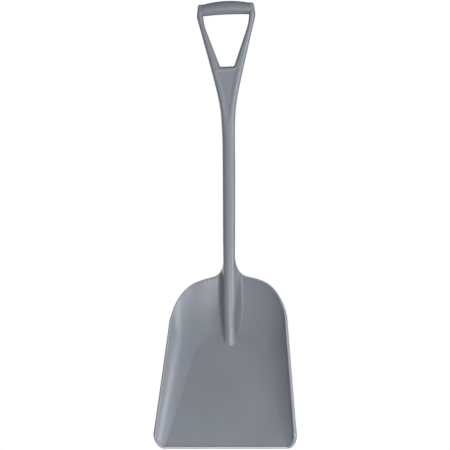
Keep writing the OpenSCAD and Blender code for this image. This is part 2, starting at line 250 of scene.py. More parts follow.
def hand_over(obj: bpy.types.Object, nodes: Sequence[str]) -> None:
    """Let a finished piece ride on the shovel and stand for its nodes.

    Args:
        obj: the finished mesh object.
        nodes: the frame's nodes that it replaces.
    """
    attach(obj, BODY)
    if nodes:
        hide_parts(*nodes)
    stands_for = ", ".join(nodes) or "itself"
    LOG.info("piece %s: %d faces, stands for %s", obj.name, len(obj.data.polygons), stands_for)


def settle(mesh: bpy.types.Mesh, crease_angle: float, dissolve: bool) -> None:
    """Weld a mesh, turn its faces outward and shade it smooth.

    Args:
        mesh: the mesh, changed in place.
        crease_angle: edges sharper than this stay crisp, in degrees.
        dissolve: also take out faces without an area.
    """
    work = bmesh.new()
    work.from_mesh(mesh)
    bmesh.ops.remove_doubles(work, verts=work.verts, dist=WELD)
    if dissolve:
        bmesh.ops.dissolve_degenerate(work, edges=work.edges, dist=WELD / 2)
    bmesh.ops.recalc_face_normals(work, faces=work.faces)
    work.to_mesh(mesh)
    work.free()
    mesh.shade_smooth()
    mesh.set_sharp_from_angle(angle=math.radians(crease_angle))


def closed_mesh(name: str, points: Sequence[Point], faces: Sequence[Sequence[int]],
                finish: MouldedPlastic, crease_angle: float = 38.0) -> bpy.types.Object:
    """Make a closed, outward-facing, smooth-shaded mesh object.

    Args:
        name: object name.
        points: vertices in metres.
        faces: corner numbers of each face.
        finish: the plastic it is dressed in.
        crease_angle: edges sharper than this stay crisp, in degrees.

    Returns:
        The object, linked to the scene.
    """
    mesh = bpy.data.meshes.new(name)
    mesh.from_pydata(points, [], faces)
    settle(mesh, crease_angle, dissolve=True)
    mesh.materials.append(finish.material())
    return place_object(name, mesh)


class Sheet:
    """Collects grids of points and the faces between them."""

    def __init__(self) -> None:
        """Start empty."""
        self.points: list[Point] = []
        self.faces: list[tuple[int, ...]] = []

    def add(self, rows: Sequence[Sequence[Point]], around: bool = False) -> None:
        """Add a grid of quads.

        Args:
            rows: equally long rows of points.
            around: join the last point of each row to its first.
        """
        start, width = len(self.points), len(rows[0])
        for row in rows:
            self.points.extend(row)
        last = width if around else width - 1
        for i in range(len(rows) - 1):
            for j in range(last):
                a, b = start + i * width + j, start + i * width + (j + 1) % width
                self.faces.append((a, b, b + width, a + width))

    def tube(self, rings: Sequence[Sequence[Point]]) -> None:
        """Run a skin through rings and close both ends."""
        self.add(rings, around=True)
        self.cap(rings[0])
        self.cap(rings[-1])

    def cap(self, ring: Sequence[Point]) -> None:
        """Close a ring with one flat face."""
        start = len(self.points)
        self.points.extend(ring)
        self.faces.append(tuple(range(start, start + len(ring))))


# ------ the two frames


@dataclass(frozen=True)
class HandleLine:
    """Centre line of the handle: straight, gently bent forward, straight again.

    Args:
        straight: length of the straight lower part.
        bend: length along the bend.
        angle: whole bend in degrees.
        hang_l: where the peg touches, along the line.
    """

    straight: float = 245.0
    bend: float = 140.0
    angle: float = 9.5
    hang_l: float = 669.8

    @property
    def radius(self) -> float:
        """Radius of the bend."""
        return self.bend / math.radians(self.angle)

    def tilt(self, l: float) -> float:
        """Forward lean in radians at a length."""
        return math.radians(self.angle) * clamp01((l - self.straight) / self.bend)

    def _spine(self, l: float) -> Pair:
        """Depth and height of the line before it is moved to the hang point."""
        t, over = self.tilt(l), max(l - self.straight - self.bend, 0.0)
        lean = math.radians(self.angle)
        y = -self.radius * (1 - math.cos(t)) - over * math.sin(lean)
        z = min(l, self.straight) + self.radius * math.sin(t) + over * math.cos(lean)
        return y, z

    @property
    def offset(self) -> Pair:
        """Depth and height of the neck point in the row frame."""
        y, z = self._spine(self.hang_l)
        return -y, -z

    def at(self, x: float, y: float, l: float) -> Point:
        """Row-frame point, in metres, of a place on a cross section.

        Args:
            x: across.
            y: through, towards the back.
            l: length along the line.

        Returns:
            The point in metres.
        """
        (oy, oz), (sy, sz), t = self.offset, self._spine(l), self.tilt(l)
        return (x * MM, (oy + sy + y * math.cos(t)) * MM, (oz + sz + y * math.sin(t)) * MM)


@dataclass(frozen=True)
class PanFrame:
    """The pan's own frame, tipped against the shaft.

    Args:
        line: the handle's centre line, whose start is the neck point.
        lift: angle between floor and shaft in degrees.
        neck_s: the neck point, back from the front edge.
        neck_h: the neck point, above the floor.
    """

    line: HandleLine
    lift: float = 20.5
    neck_s: float = 446.0
    neck_h: float = 82.0

    def at(self, x: float, s: float, h: float) -> Point:
        """Row-frame point, in metres, of a place in the pan."""
        oy, oz = self.line.offset
        sin, cos = math.sin(math.radians(self.lift)), math.cos(math.radians(self.lift))
        ds, dh = s - self.neck_s, h - self.neck_h
        return (x * MM, (oy + ds * sin - dh * cos) * MM, (oz + ds * cos + dh * sin) * MM)

    def matrix(self) -> Matrix:
        """The same as a matrix that takes pan millimetres to row metres."""
        turn = Matrix.Rotation(math.radians(90 - self.lift), 4, "X")
        return Matrix.Translation(self.at(0, 0, 0)) @ turn @ Matrix.Scale(MM, 4)


# ------ geometry nodes sweep


@dataclass(frozen=True)
class SweepTree:
    """A node tree that runs a four-cornered, rounded profile along a path.

    Args:
        name: name of the tree and of the swept piece.
        corners: default profile corners, across and up, in the path's units.
        rounding: fillet of the profile's corners.
    """

    name: str
    corners: tuple[Pair, ...]
    rounding: float

    def build(self, material: bpy.types.Material) -> bpy.types.NodeTree:
        """Build the tree, with named inputs for its sizes; it dresses the piece in the material."""
        tree = bpy.data.node_groups.new(self.name, "GeometryNodeTree")
        face = tree.interface
        face.new_socket("Path", in_out="INPUT", socket_type="NodeSocketGeometry")
        for i, _ in enumerate(self.corners):
            face.new_socket(f"Corner {i + 1}", in_out="INPUT", socket_type="NodeSocketVector")
        face.new_socket("Rounding", in_out="INPUT", socket_type="NodeSocketFloat")
        face.new_socket("Piece", in_out="OUTPUT", socket_type="NodeSocketGeometry")
        nodes, link = tree.nodes, tree.links.new
        given = nodes.new("NodeGroupInput")
        upright = nodes.new("GeometryNodeSetCurveNormal")
        upright.mode = "Z_UP"
        outline = nodes.new("GeometryNodeCurvePrimitiveQuadrilateral")
        outline.mode = "POINTS"
        soften = nodes.new("GeometryNodeFilletCurve")
        soften.mode = "POLY"
        preset(soften, Count=4, Limit_Radius=True)
        sweep = preset(nodes.new("GeometryNodeCurveToMesh"), Fill_Caps=True)
        width = nodes.new("GeometryNodeInputRadius")
        real = nodes.new("GeometryNodeRealizeInstances")
        dress = preset(nodes.new("GeometryNodeSetMaterial"), Material=material)
        out = nodes.new("NodeGroupOutput")
        for i, _ in enumerate(self.corners):
            link(given.outputs[f"Corner {i + 1}"], outline.inputs[f"Point {i + 1}"])
        for source, sent, target, taken in (
                (given, "Path", upright, "Curve"), (outline, "Curve", soften, "Curve"),
                (given, "Rounding", soften, "Radius"), (upright, "Curve", sweep, "Curve"),
                (soften, "Curve", sweep, "Profile Curve"), (width, "Radius", sweep, "Scale"),
                (sweep, "Mesh", real, "Geometry"), (real, "Geometry", dress, "Geometry"),
                (dress, "Geometry", out, "Piece")):
            link(source.outputs[sent], target.inputs[taken])
        return tree

    def run(self, path: Sequence[Point], widths: Sequence[float], place: Matrix,
            finish: MouldedPlastic, tips: Sequence[float] = ()) -> bpy.types.Object:
        """Sweep the profile and return a plain mesh object.

        Args:
            path: path points in the path's own frame.
            widths: scale of the profile at each point.
            place: matrix from the path's frame to the row frame.
            finish: the plastic it is dressed in.
            tips: turn of the profile about the path at each point, radians.

        Returns:
            The object, linked to the scene.
        """
        curve = bpy.data.curves.new(self.name + "_path", "CURVE")
        curve.dimensions = "3D"
        spline = curve.splines.new("POLY")
        spline.points.add(len(path) - 1)
        for point, place_at, width in zip(spline.points, path, widths):
            point.co = (*place_at, 1.0)
            point.radius = width
        for point, tip in zip(spline.points, tips):
            point.tilt = tip
        carrier = place_object(self.name + "_path", curve)
        tree = self.build(finish.material())
        mod = carrier.modifiers.new(self.name, "NODES")
        mod.node_group = tree
        sockets = {s.name: s.identifier for s in tree.interface.items_tree if s.in_out == "INPUT"}
        for i, corner in enumerate(self.corners):
            mod[sockets[f"Corner {i + 1}"]] = (corner[0], corner[1], 0.0)
        mod[sockets["Rounding"]] = self.rounding
        graph = bpy.context.evaluated_depsgraph_get()
        mesh = bpy.data.meshes.new_from_object(carrier.evaluated_get(graph))
        bpy.data.objects.remove(carrier)
        mesh.name = self.name
        mesh.transform(place)
        settle(mesh, SWEEP_CREASE, dissolve=False)
        return place_object(self.name, mesh)


# ------ the pan


@dataclass(frozen=True)
class Station:
    """One straight line in plan from the floor to the rim.

    The wall leaves the floor with a crease, climbs in an arc and runs straight to the rim.

    Args:
        floor: x and s where it leaves the floor.
        rim: x and s where it meets the rim.
        height: rim height.
        crease: slope with which the wall leaves the floor, degrees.
        square: 1 where the wall is cut off square to itself, 0 where it is cut upright.
        bead: size of the rim bead here.
        lip: share of the bead that has turned into the front lip.
        curve: share of the climb that is spent in the arc.
    """

    floor: Pair
    rim: Pair
    height: float
    crease: float
    square: float
    bead: float = 1.0
    lip: float = 0.0
    curve: float = 0.86

    @property
    def run(self) -> float:
        """Length of the line in plan."""
        return math.dist(self.floor, self.rim)

    def plan(self, d: float) -> Pair:
        """x and s at a distance out from the floor."""
        t = d / self.run
        return mix(self.floor[0], self.rim[0], t), mix(self.floor[1], self.rim[1], t)

    def section(self) -> tuple[float, float, float]:
        """Slope at the floor and at the rim in radians, and the radius between."""
        chord = math.atan2(self.height, self.run)
        low = min(math.radians(self.crease), chord / 2)
        high = chord + self.curve * (chord - low)
        rise = self.run * math.sin(high) - self.height * math.cos(high)
        return low, high, rise / max(1 - math.cos(high - low), 1e-9)

    def slope_at(self, d: float) -> float:
        """Slope of the wall's inner face at a distance out, radians."""
        low, high, radius = self.section()
        if d < radius * (math.sin(high) - math.sin(low)):
            return math.asin(math.sin(low) + d / radius)
        return high

    def height_at(self, d: float) -> float:
        """Height of the wall's inner face at a distance out."""
        low, high, radius = self.section()
        if d < radius * (math.sin(high) - math.sin(low)):
            return radius * (math.cos(low) - math.cos(self.slope_at(d)))
        return self.height - (self.run - d) * math.tan(high)

    def mirrored(self) -> Station:
        """The same station on the other side."""
        return replace(self, floor=(-self.floor[0], self.floor[1]), rim=(-self.rim[0], self.rim[1]))


@dataclass
class Pan:
    """The scoop: flat floor, curved walls and the spine that carries the shaft."""

    frame: PanFrame
    corner_half_w: float = 170.3
    corner_back: float = 22.0
    shoulder_r: float = 150.0
    swell: float = 2.4
    swell_lean: float = 1.36
    shoulder_s: float = 297.5
    floor_half_w: float = 149.0
    floor_r: float = 94.0
    floor_s: float = 220.0
    neck_fillet: float = 40.0
    wall: float = 4.5
    rim_h_front: float = 28.0
    rim_h_back: float = 60.0
    rim_dip: float = 5.0
    crease_front: float = 22.0
    crease_side: float = 12.0
    crease_back: float = 8.0
    shaft_r: float = 15.0
    spine_end_s: float = 272.0
    spine_end_r: float = 15.5
    spine_draft: float = 71.0
    valley: float = 22.0
    neck_rise: float = 2.2
    split_turn: float = 0.4
    floor_split: float = 8.0
    floor_corner: float = 6.0
    corner_pow: float = 1.03
    lip_size: float = 0.85
    bead_end: float = 0.15
    flank_run: float = 36.0
    fade_run: float = 26.0
    keel_fillet: float = 9.0
    corner_steps: int = 26
    side_steps: int = 44
    back_steps: int = 72
    neck_steps: int = 22
    turn_steps: int = 20
    cross_steps: int = 36
    wall_steps: int = 56
    floor_steps: int = 14
    core_steps: int = 44
    finish: MouldedPlastic = PAN_FINISH

    def __post_init__(self) -> None:
        """Work out the plan's angles."""
        reach = math.hypot(self.corner_half_w, self.corner_back - self.shoulder_s)
        end_r = self.shoulder_r - self.swell
        self.rim_a0 = (math.atan2(self.corner_back - self.shoulder_s, self.corner_half_w)
                       + math.acos(end_r / reach))
        self.floor_a0 = (math.atan2(-self.floor_s, self.floor_half_w)
                         + math.acos(self.floor_r / math.hypot(self.floor_half_w, self.floor_s)))
        self.floor_t0 = self.floor_corner / (self.floor_s + self.floor_r * math.sin(self.floor_a0))
        self.neck_cx = self.shaft_r + self.neck_fillet
        self.rim_a1 = math.acos(self.neck_cx / (end_r + self.neck_fillet))
        self.cut_s = self.shoulder_s + (end_r + self.neck_fillet) * math.sin(self.rim_a1)
        self.tan_lift = math.tan(math.radians(self.frame.lift))
        self.cos_lift = math.cos(math.radians(self.frame.lift))
        self.cut_h = self.frame.neck_h + (self.cut_s - self.frame.neck_s) * self.tan_lift
        self.floor_a1 = math.acos(self.floor_split / self.floor_r)
        self.floor_a_neck = self.floor_a1 - math.radians(8)
        self.crest_cut = self.cut_h + self.shaft_r / self.cos_lift
        run = self.cut_s - self.spine_end_s
        self.crest_k = 2 * (self.crest_cut - self.tan_lift * run) / run ** 2

    # -- stations

    def arc_point(self, angle: float) -> Pair:
        """A point of the floor's round end at an angle."""
        return self.floor_r * math.cos(angle), self.floor_s + self.floor_r * math.sin(angle)

    def arc_across(self, x: float) -> Pair:
        """The point of the floor's round end at a place across."""
        return x, self.floor_s + math.sqrt(self.floor_r ** 2 - x ** 2)

    def side_floor(self, t: float) -> Pair:
        """A point of the floor's straight side, 0 at the front edge."""
        end = self.arc_point(self.floor_a0)
        return mix(self.floor_half_w, end[0], t), mix(0.0, end[1], t)

    def corner(self, t: float) -> Station:
        """A station of the rounded front corner, 0 at the front edge, 1 at the side wall."""
        a = math.pi / 2 * (1 - t)
        fx, fs = self.side_floor(self.floor_t0)
        floor = (fx - self.floor_corner * (1 - math.cos(a)), fs - self.floor_corner * math.sin(a))
        climb = 1 - math.sin(a) ** self.corner_pow
        out = (self.corner_half_w - self.floor_half_w) * max(math.cos(a), 0.0) ** self.corner_pow
        rim = (self.floor_half_w + out, self.corner_back * climb)
        return Station(floor, rim, self.rim_h_front * climb, self.crease_front, 1.0,
                       mix(self.lip_size, 1, ease(t)), 1 - ease(t))

    def shoulder(self, t: float) -> Pair:
        """A point of the rim round the shoulder, 0 at the side wall, 1 at the neck fillet."""
        a = mix(self.rim_a0, self.rim_a1, t)
        r = self.shoulder_r - self.swell * math.cos(math.tau * t ** self.swell_lean)
        return r * math.cos(a), self.shoulder_s + r * math.sin(a)

    def side(self, t: float) -> Station:
        """A station of the straight side wall, 0 at the front corner."""
        end = self.shoulder(0.0)
        rim = mix(self.corner_half_w, end[0], t), mix(self.corner_back, end[1], t)
        height = mix(self.rim_h_front, self.rim_h_back, t)
        crease = mix(self.crease_front, self.crease_side, t)
        return Station(self.side_floor(mix(self.floor_t0, 1, t)), rim, height, crease, 1.0)

    def back(self, t: float) -> Station:
        """A station of the round shoulder, 0 at the side wall."""
        floor = self.arc_point(mix(self.floor_a0, self.floor_a_neck, t))
        height = self.rim_h_back - self.rim_dip * ease((t - 0.6) / 0.4)
        crease = mix(self.crease_side, self.crease_back, t)
        return Station(floor, self.shoulder(t), height, crease, 1 - ease(t))

    def turn(self, t: float, floor_x: float) -> Station:
        """A station whose rim end lies on the hollow fillet beside the shaft."""
        a = mix(self.rim_a1 + math.pi, math.pi, t)
        rim = (self.neck_cx + self.neck_fillet * math.cos(a), self.cut_s + self.neck_fillet * math.sin(a))
        height = mix(self.rim_h_back - self.rim_dip, self.cut_h, t ** self.neck_rise)
        bead = 1 - (1 - self.bead_end) * ease(t)
        return Station(self.arc_across(floor_x), rim, height, self.crease_back, 0.0, bead)

    def neck(self, t: float) -> Station:
        """A station between the shoulder and the spine."""
        fa = mix(self.floor_a_neck, self.floor_a1, t)
        return self.turn(t * self.split_turn, self.floor_r * math.cos(fa))

    def right_stations(self) -> list[Station]:
        """Every station right of the spine, from the front corner back."""
        sides = [self.corner(i / self.corner_steps) for i in range(self.corner_steps)]
        sides += [self.side(i / self.side_steps) for i in range(self.side_steps)]
        backs = [self.back(i / self.back_steps) for i in range(self.back_steps + 1)]
        necks = [self.neck(i / self.neck_steps) for i in range(1, self.neck_steps + 1)]
        return sides + backs + necks

    def spine_stations(self) -> list[Station]:
        """The stations across the spine, from right to left, both sides' last ones left out."""
        total = 2 * self.turn_steps + self.cross_steps
        out = []
        for k in range(1, total):
            floor_x = self.floor_split * (1 - 2 * k / total)
            mirror_k = total - k
            if k <= self.turn_steps:
                out.append(self.turn(mix(self.split_turn, 1, k / self.turn_steps), floor_x))
            elif mirror_k <= self.turn_steps:
                mate = self.turn(mix(self.split_turn, 1, mirror_k / self.turn_steps), -floor_x)
                out.append(mate.mirrored())
            else:
                x = self.shaft_r * math.cos(math.pi * (k - self.turn_steps) / self.cross_steps)
                out.append(Station(self.arc_across(floor_x), (x, self.cut_s), self.cut_h,
                                   self.crease_back, 0.0, self.bead_end))
        return out

    def stations(self) -> list[Station]:
        """Every station from the right front corner round to the left one."""
        right = self.right_stations()
        return right + self.spine_stations() + [q.mirrored() for q in reversed(right)]

    # -- heights

    def near_cut(self, s: float) -> float:
        """1 at the cut under the shaft, fading to 0 in front of it."""
        return ease((s - self.cut_s + self.fade_run) / self.fade_run)

    def ridge(self, x: float, s: float) -> float:
        """Upper surface of the spine."""
        q = self.cut_s - s
        crest = self.crest_cut - self.tan_lift * q - self.crest_k * q * q / 2
        run = self.cut_s - self.spine_end_s
        r = mix(self.spine_end_r, self.shaft_r, clamp01((s - self.spine_end_s) / run))
        steep = ease((s - self.cut_s + self.flank_run) / self.flank_run)
        flank = math.radians(min(89.0, mix(self.spine_draft, 90, steep)))
        edge, u = r * math.sin(flank), abs(x)
        if u < edge:
            return crest - (r - math.sqrt(max(r * r - u * u, 0.0))) / self.cos_lift
        return crest - (r - r * math.cos(flank) + (u - edge) * math.tan(flank)) / self.cos_lift

    def underside(self, x: float, s: float) -> float:
        """Lower surface of the shaft where it shows behind the pan."""
        u = min(abs(x), self.shaft_r)
        axis = self.frame.neck_h + (s - self.frame.neck_s) * self.tan_lift
        drop = math.sqrt(self.shaft_r ** 2 - u * u) / self.cos_lift
        return axis - drop + 3 * max(abs(x) - self.shaft_r, 0.0)

    def with_ridge(self, x: float, s: float, h: float) -> float:
        """Height of the upper surface once the spine is blended in."""
        share = clamp01((s - self.spine_end_s + 4) / 90) ** 0.6
        return round_max(h, self.ridge(x, s), max(0.01, self.valley * share * (1 - self.near_cut(s))))

    def inner(self, q: Station, v: float) -> Point:
        """A point of the inner face, v from 0 at the floor to 1 at the rim."""
        d = q.run * v
        (x, s), h = q.plan(d), q.height_at(d)
        if q.square > 0.999:
            return x, s, h
        return x, s, self.with_ridge(x, s, h)

    def outer(self, q: Station, v: float) -> Point:
        """A point of the outer face behind the inner one."""
        d = q.run * v
        slope, thick = q.slope_at(d), self.wall
        x, s = q.plan(d + q.square * thick * math.sin(slope))
        thin = mix(1 / math.cos(slope), math.cos(slope), q.square)
        if q.square > 0.999:
            return x, s, q.height_at(d) - thick * thin
        near = self.near_cut(s)
        h = q.height_at(d) - thick * thin * (1 - near)
        return x, s, -round_max(-h, -self.underside(x, s), max(0.01, self.keel_fillet * (1 - near)))

    # -- meshes

    def floor_cuts(self, x: float) -> list[float]:
        """Places across the floor from x to -x, close together under the spine."""
        core = min(26.0, 0.9 * x)
        outer = [mix(x, core, t) for t in cosine_steps(self.floor_steps)[:-1]]
        inner = [mix(core, -core, t) for t in even_steps(self.core_steps)]
        return outer + inner + [-c for c in reversed(outer)]

    def floor_rows(self, stations: Sequence[Station], top: bool) -> list[list[Point]]:
        """Rows of floor points, each from a station to its mirror image."""
        rows = []
        for q in stations[:len(stations) // 2 + 1]:
            x, s = q.floor
            cuts = self.floor_cuts(x if x > 0.01 else 0.0)
            rows.append([self.frame.at(c, s, self.with_ridge(c, s, 0.0) if top else -self.wall)
                         for c in cuts])
        return rows

    def make(self) -> None:
        """Build the pan as one closed shell and dress it."""
        at, stations, cuts = self.frame.at, self.stations(), even_steps(self.wall_steps)
        inner = [[at(*self.inner(q, v)) for v in cuts] for q in stations]
        outer = [[at(*self.outer(q, v)) for v in cuts] for q in stations]
        floor_in = self.floor_rows(stations, True)
        floor_out = self.floor_rows(stations, False)
        skin = Sheet()
        for rows in (inner, outer, floor_in, floor_out,
                     [[row[-1] for row in inner], [row[-1] for row in outer]],
                     [inner[0], outer[0]], [inner[-1], outer[-1]], [floor_in[0], floor_out[0]]):
            skin.add(rows)
        obj = closed_mesh("scoop_pan", skin.points, skin.faces, self.finish)
        hand_over(obj, ["blade_floor", "side_wall_left", "side_wall_right",
                        "shoulder_left", "shoulder_right", "spine"])


@dataclass
class RimEdge:
    """The bead on top of the walls, tipping down round the front corners into the front lip; bead and lip are
    in lighter plastic that is a painted highlight.
    """

    pan: Pan
    width: float = 4.2
    rise: float = 1.0
    fall: float = 4.8
    inset: float = 0.8
    rounding: float = 1.5
    tip: float = 22.0
    sink: float = 0.6
    # painted highlight: the lighter plastic of the rim beads
    finish: MouldedPlastic = BEAD_HIGHLIGHT_FINISH
    # painted highlight: the lighter plastic of the front lip
    lip_highlight_finish: MouldedPlastic = LIP_HIGHLIGHT_FINISH

    def profile(self, side: int) -> tuple[Pair, ...]:
        """Corners of the bead, outward and up; side turns it over for the left hand."""
        corners = ((-self.inset, self.rise), (self.width, self.rise - 0.2), (self.width - 0.3, -self.fall),
                   (-self.inset, -self.fall + 1.4))
        return tuple((-side * a, b) for a, b in corners)

    def bead(self, side: int, name: str) -> None:
        """Sweep the bead of one side, from the front edge round to the shaft."""
        pan = self.pan
        stations = pan.right_stations() + pan.spine_stations()[:pan.turn_steps]
        path = [(side * q.rim[0], q.rim[1], q.height - self.sink * q.lip) for q in stations]
        sizes = [q.bead * (1 - 0.9 * pan.near_cut(q.rim[1])) for q in stations]
        tips = [side * math.radians(self.tip) * q.lip for q in stations]
        sweep = SweepTree(name, self.profile(side), self.rounding)
        obj = sweep.run(path, sizes, pan.frame.matrix(), self.finish, tips=tips)
        hand_over(obj, [name.replace("rim_bead", "rim")])

    def lip(self) -> None:
        """Sweep the bevelled lip along the front of the floor, in a much lighter plastic that is a painted
        highlight for the light its bevel catches.
        """
        pan = self.pan
        half = pan.floor_half_w
        path = [(mix(-half, half, t), 0.0, -self.sink) for t in even_steps(24)]
        sweep = SweepTree("front_lip", self.profile(1), self.rounding)
        obj = sweep.run(path, [pan.lip_size] * len(path), pan.frame.matrix(), self.lip_highlight_finish,
                        tips=[math.radians(self.tip)] * len(path))
        hand_over(obj, ["front_lip"])

    def make(self) -> None:
        """Sweep both beads and the lip."""
        self.bead(1, "rim_bead_right")
        self.bead(-1, "rim_bead_left")
        self.lip()


# ------ the handle


@dataclass
class Shaft:
    """The round shaft, straight from the pan and then bent gently forward."""

    pan: Pan
    line: HandleLine
    r_low: float = 15.0
    r_top: float = 16.2
    l_top: float = 330.0
    ring: int = 72
    steps: int = 90
    finish: MouldedPlastic = HANDLE_FINISH

    def radius(self, l: float) -> float:
        """Outside radius at a length along the handle."""
        return mix(self.r_low, self.r_top, clamp01(l / self.line.straight))

    def make(self) -> None:
        """Run a round section up the line, its foot cut to lie on the spine."""
        foot = (self.pan.cut_s - self.pan.frame.neck_s) / self.pan.cos_lift
        angles = circle_angles(self.ring)
        slant = self.r_low * self.pan.tan_lift
        rings = [[self.line.at(self.r_low * math.cos(a), self.r_low * math.sin(a), foot - slant * math.sin(a))
                  for a in angles]]
        for t in even_steps(self.steps):
            l = mix(foot + 8, self.l_top, t)
            r = self.radius(l)
            rings.append([self.line.at(r * math.cos(a), r * math.sin(a), l) for a in angles])
        skin = Sheet()
        skin.tube(rings)
        hand_over(closed_mesh("shaft", skin.points, skin.faces, self.finish), ["shaft"])


@dataclass
class GripFrame:
    """Yoke and arms: the shaft flares to a flat yoke, then parts round the hand opening."""

    line: HandleLine
    l_foot: float = 330.0
    l_split: float = 506.0
    open_l: float = 533.0
    open_half_w: float = 18.5
    inner_slope: float = 0.36
    bar_half: float = 60.5
    half_w: float = 76.6
    widest_l: float = 666.0
    outer_slope: float = 0.257
    corner_w: float = 73.6
    corner_l: float = 698.0
    corner_r: float = 5.0
    waist: float = 14.9
    waist_blend: float = 134.6
    flat_run: float = 90.0
    level_l: float = 560.0
    shaft_r: float = 16.2
    yoke_d: float = 12.5
    arm_d: float = 11.5
    top_d: float = 13.8
    rounding: float = 9.0
    panel_d: float = 1.2
    panel_edge: float = 9.0
    panel_low: float = 378.0
    panel_run: float = 55.0
    panel_gap: float = 14.5
    across: int = 34
    finish: MouldedPlastic = HANDLE_FINISH

    # -- outlines

    def outside(self, l: float) -> float:
        """Half width of the outer outline."""
        spread = self.half_w - self.outer_slope * (self.widest_l - l)
        if l < self.widest_l:
            return (self.waist + spread + math.sqrt((self.waist - spread) ** 2 + self.waist_blend)) / 2
        up = ease((l - self.widest_l) / (self.corner_l - self.widest_l))
        w = mix(self.half_w + 0.2, self.corner_w, up)
        return w - 4.5 * (1 - quarter_round(self.corner_l - l, 7.0))

    def inside(self, l: float) -> float:
        """Half width of the hand opening."""
        straight = self.open_half_w + self.inner_slope * (l - self.open_l)
        return -round_max(-straight, -self.bar_half, 8)

    def flatness(self, l: float) -> float:
        """0 where the section is round, 1 where it is flat with rounded edges."""
        return ease((l - self.l_foot) / self.flat_run)

    def depth(self, l: float) -> float:
        """Half depth before the edges are rounded."""
        if l < self.open_l:
            return mix(self.shaft_r, self.yoke_d, ease((l - self.l_foot) / 150))
        arm = mix(self.yoke_d, self.arm_d, ease((l - self.open_l) / 60))
        return mix(arm, self.top_d, ease((l - 635) / 35))

    def low_corner(self) -> Pair:
        """Slope of the opening's side in radians, and where its low corner's centre lies across."""
        slope = math.atan(self.inner_slope)
        return slope, self.open_half_w + self.inner_slope * self.corner_r - self.corner_r / math.cos(slope)

    def to_opening(self, x: float, l: float) -> float:
        """Distance from the hand opening, positive in the plastic."""
        slope, cx = self.low_corner()
        if l > self.level_l:
            bend = self.inside(l + 0.5) - self.inside(l - 0.5)
            return (abs(x) - self.inside(l)) * math.cos(math.atan(bend))
        px, pl = abs(x) - cx, l - self.open_l - self.corner_r
        along = px * math.sin(slope) + pl * math.cos(slope)
        if px < 0 and pl < 0:
            return -pl - self.corner_r
        if along < 0:
            return math.hypot(px, pl) - self.corner_r
        return px * math.cos(slope) - pl * math.sin(slope) - self.corner_r

    def half_depth(self, x: float, l: float) -> float:
        """Distance of the front face from the middle plane."""
        w, d = self.outside(l), self.depth(l)
        u = abs(x)
        lean = math.cos(math.atan(self.outer_slope))
        to_open = self.to_opening(x, l) if l > self.open_l - 30 else 999.0
        limit = self.rounding
        if l > self.open_l + 12:
            limit = min(limit, (w - self.inside(l)) * 0.47)
        boxy = quarter_round((w - u) * lean, limit) * quarter_round(to_open, limit)
        boxy *= quarter_round(self.corner_l - l, 6.0)
        round_ = math.sqrt(max(0.0, 1 - min(u / w, 1.0) ** 2))
        return d * mix(round_, boxy, self.flatness(l)) - self.sunk(u, l)

    def sunk(self, u: float, l: float) -> float:
        """Depth of the shallow panel on the yoke."""
        edge = self.outside(l) - self.rounding
        if edge < 1:
            return 0.0
        share = ease((0.97 * edge - u) / self.panel_edge)
        low = ease((l - self.panel_low) / self.panel_run)
        top = 1 - ease((l - self.open_l + self.panel_gap) / 4.5)
        return self.panel_d * share * low * top

    # -- meshes

    def spread(self, l: float) -> list[float]:
        """Places across the yoke from the middle to the edge, crowded at the edge."""
        w, flat = self.outside(l), self.flatness(l)
        n, bends = self.across, 12
        out = []
        for j in range(n + 1):
            circle = w * math.sin(math.pi / 2 * j / n)
            if j <= n - bends:
                box = (w - self.rounding) * j / (n - bends)
            else:
                a = math.pi / 2 * (j - n + bends) / bends
                box = w - self.rounding * (1 - math.sin(a))
            out.append(mix(circle, box, flat))
        return out

    def yoke_rows(self) -> list[list[Pair]]:
        """Rows of (x, l) up to the foot of the opening's border."""
        lengths = [mix(self.l_foot, self.l_split, t) for t in even_steps(64)]
        return [[(x, l) for x in self.spread(l)] for l in lengths]

    def opening_edge(self, t: float) -> Pair:
        """A point on the lower end of the opening, 0 in the middle, 1 on the side at level_l."""
        slope, cx = self.low_corner()
        arc = math.pi / 2 - slope
        start_l = self.open_l + self.corner_r - self.corner_r * math.sin(slope)
        lengths = (cx, arc * self.corner_r, (self.level_l - start_l) / math.cos(slope))
        s = t * sum(lengths)
        if s < lengths[0]:
            return s, self.open_l
        s -= lengths[0]
        if s < lengths[1]:
            a = -math.pi / 2 + s / self.corner_r
            return cx + self.corner_r * math.cos(a), self.open_l + self.corner_r + self.corner_r * math.sin(a)
        l = start_l + (s - lengths[1]) * math.cos(slope)
        return self.open_half_w + self.inner_slope * (l - self.open_l), l

    def crotch_rows(self) -> list[list[Pair]]:
        """Rows that fan out from the lower end of the opening."""
        feet = [(x, self.l_split) for x in self.spread(self.l_split)]
        feet += [(self.outside(l), l) for l in
                 (mix(self.l_split, self.level_l, t) for t in even_steps(30)[1:])]
        rows = []
        for foot, t in zip(feet, even_steps(len(feet) - 1)):
            start = self.opening_edge(t)
            rows.append([(mix(start[0], foot[0], c), mix(start[1], foot[1], c))
                         for c in cosine_steps(self.across)])
        return rows

    def arm_rows(self) -> list[list[Pair]]:
        """Level rows across one arm, up to its rounded top."""
        top = 8.0
        lengths = [mix(self.level_l, self.corner_l - top, t) for t in even_steps(60)]
        lengths += [self.corner_l - top * math.cos(math.pi / 2 * t) for t in even_steps(12)[1:]]
        rows = []
        for l in lengths:
            a, b = self.inside(l), self.outside(l)
            rows.append([(mix(a, b, c), l) for c in cosine_steps(self.across)])
        return rows

